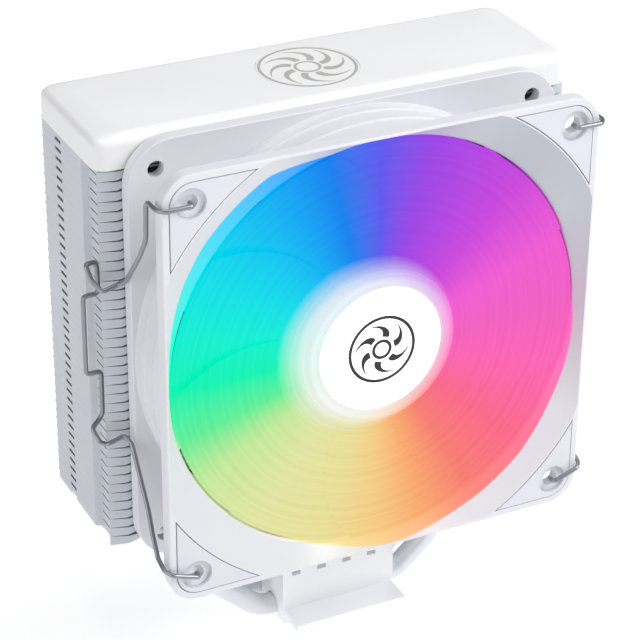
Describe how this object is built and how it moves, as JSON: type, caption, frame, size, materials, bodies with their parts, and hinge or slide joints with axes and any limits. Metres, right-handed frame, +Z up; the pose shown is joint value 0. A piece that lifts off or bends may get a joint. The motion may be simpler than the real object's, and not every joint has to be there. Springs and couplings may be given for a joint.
{
  "type": "cpu tower cooler",
  "caption": "White tower heatsink with bent heat pipes, stacked aluminium fins, a smooth top cover and a wire-clipped, coloured-light cooling fan.",
  "frame": {"origin": "middle of the base block's underside, the contact face that rests on the processor", "axes": "+Z up, from the contact face to the top cover; the fan is on the -Y side and blows towards +Y; +X is to the right when the fan is seen from the front"},
  "size_m": [0.1402, 0.0781, 0.1555],
  "materials": {
    "fins": "satin, stamped",
    "heat_pipes": "nickel-plated copper",
    "base_block": "milled, satin",
    "cover": "smooth white",
    "medallion": "warm grey print on a white disc",
    "frame": "fine-grained white",
    "pads": "pale grey, soft",
    "blades": "frosted translucent, lit from the hub",
    "hub_cap": "frosted white, lit",
    "steel": "ground steel",
    "wire": "drawn spring wire",
    "magnet": "bonded ferrite",
    "stator": "stacked laminations",
    "coils": "enamelled copper wire",
    "brass": "sintered bronze",
    "board": "solder mask",
    "leds": "surface-mounted light",
    "label": "plain blank sticker"
  },
  "bodies": {
    "tower": {"fin_pack_01": "fins", "fin_pack_02": "fins", "fin_pack_03": "fins", "fin_pack_04": "fins", "fin_pack_05": "fins", "fin_pack_06": "fins", "fin_pack_07": "fins", "fin_pack_08": "fins", "fin_pack_09": "fins", "fin_pack_10": "fins", "heat_pipe_1": "heat_pipes", "heat_pipe_2": "heat_pipes", "heat_pipe_3": "heat_pipes", "heat_pipe_4": "heat_pipes", "front_pad_1": "pads", "front_pad_2": "pads", "front_pad_3": "pads", "front_pad_4": "pads", "rear_pad_1": "pads", "rear_pad_2": "pads", "rear_pad_3": "pads", "rear_pad_4": "pads", "stator_coil_1": "coils", "stator_coil_2": "coils", "stator_coil_3": "coils", "stator_coil_4": "coils", "led_1": "leds", "led_2": "leds", "led_3": "leds", "led_4": "leds", "led_5": "leds", "led_6": "leds", "base_block": "base_block", "top_cover": "cover", "cover_medallion": "medallion", "fan_frame": "frame", "motor_mount": "frame", "stator_core": "stator", "bearing_sleeve": "brass", "circuit_board": "board", "motor_label": "label"},
    "rotor": {"impeller": "blades", "hub_cap": "hub_cap", "rotor_yoke": "steel", "magnet_ring": "magnet", "rotor_shaft": "steel", "shaft_retainer": "steel"},
    "clip_left": {"wire_clip_left": "wire"},
    "clip_right": {"wire_clip_right": "wire"}
  },
  "joints": [
    {"name": "fan_spin", "type": "hinge", "parent": "tower", "child": "rotor", "pos_m": [0, -0.033, 0.0945], "axis": [0, -1, 0], "continuous": true},
    {"name": "clip_left_swing", "type": "hinge", "parent": "tower", "child": "clip_left", "pos_m": [-0.0654, -0.016, 0.0945], "axis": [0, 0, -1], "range_deg": [0, 70]},
    {"name": "clip_right_swing", "type": "hinge", "parent": "tower", "child": "clip_right", "pos_m": [0.0654, -0.016, 0.0945], "axis": [0, 0, 1], "range_deg": [0, 70]}
  ]
}
